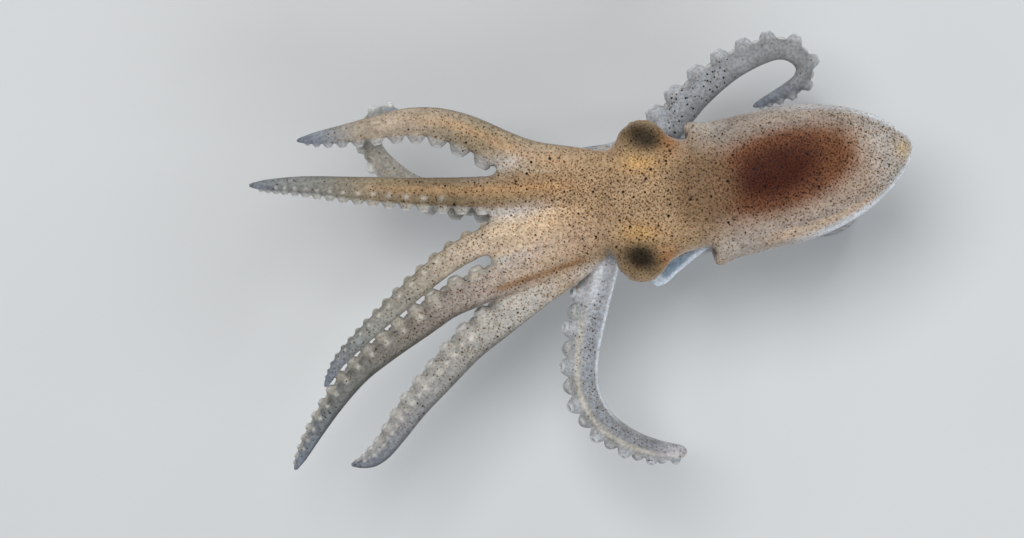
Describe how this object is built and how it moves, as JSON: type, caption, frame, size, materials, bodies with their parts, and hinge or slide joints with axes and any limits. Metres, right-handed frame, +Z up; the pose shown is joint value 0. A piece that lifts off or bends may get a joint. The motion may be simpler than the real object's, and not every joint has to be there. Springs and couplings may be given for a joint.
{
  "type": "octopus",
  "caption": "Life-size still model of a small swimming octopus, arms spread and sucker rows showing, held on a flat stand with two short rods.",
  "frame": {"origin": "middle of the whole model's outline seen from above, at the level of the stand's underside", "axes": "+X along the body from the neck to the mantle's tip, +Y the animal's right, +Z up out of its back"},
  "size_m": [0.0498, 0.0334, 0.019],
  "materials": {
    "skin_back": "satin",
    "skin_pale": "satin",
    "eye": "gloss",
    "beak": "gloss",
    "stand": "satin"
  },
  "bodies": {
    "root": {"arm_left_1_base": "skin_back", "arm_left_1_middle": "skin_back", "arm_left_1_tip": "skin_back", "arm_left_2_base": "skin_back", "arm_left_2_middle": "skin_back", "arm_left_2_tip": "skin_back", "arm_left_3_base": "skin_back", "arm_left_3_middle": "skin_back", "arm_left_3_tip": "skin_back", "arm_left_4_base": "skin_pale", "arm_left_4_middle": "skin_pale", "arm_left_4_tip": "skin_pale", "arm_right_1_base": "skin_back", "arm_right_1_middle": "skin_back", "arm_right_1_tip": "skin_back", "arm_right_2_base": "skin_back", "arm_right_2_middle": "skin_back", "arm_right_2_tip": "skin_back", "arm_right_3_base": "skin_pale", "arm_right_3_middle": "skin_pale", "arm_right_3_tip": "skin_pale", "arm_right_4_base": "skin_pale", "arm_right_4_middle": "skin_pale", "arm_right_4_tip": "skin_pale", "beak": "beak", "crown": "skin_back", "eye_left": "eye", "eye_right": "eye", "funnel": "skin_pale", "head": "skin_back", "mantle": "skin_back", "stand_base": "stand", "stand_rod_head": "stand", "stand_rod_mantle": "stand"}
  },
  "joints": []
}
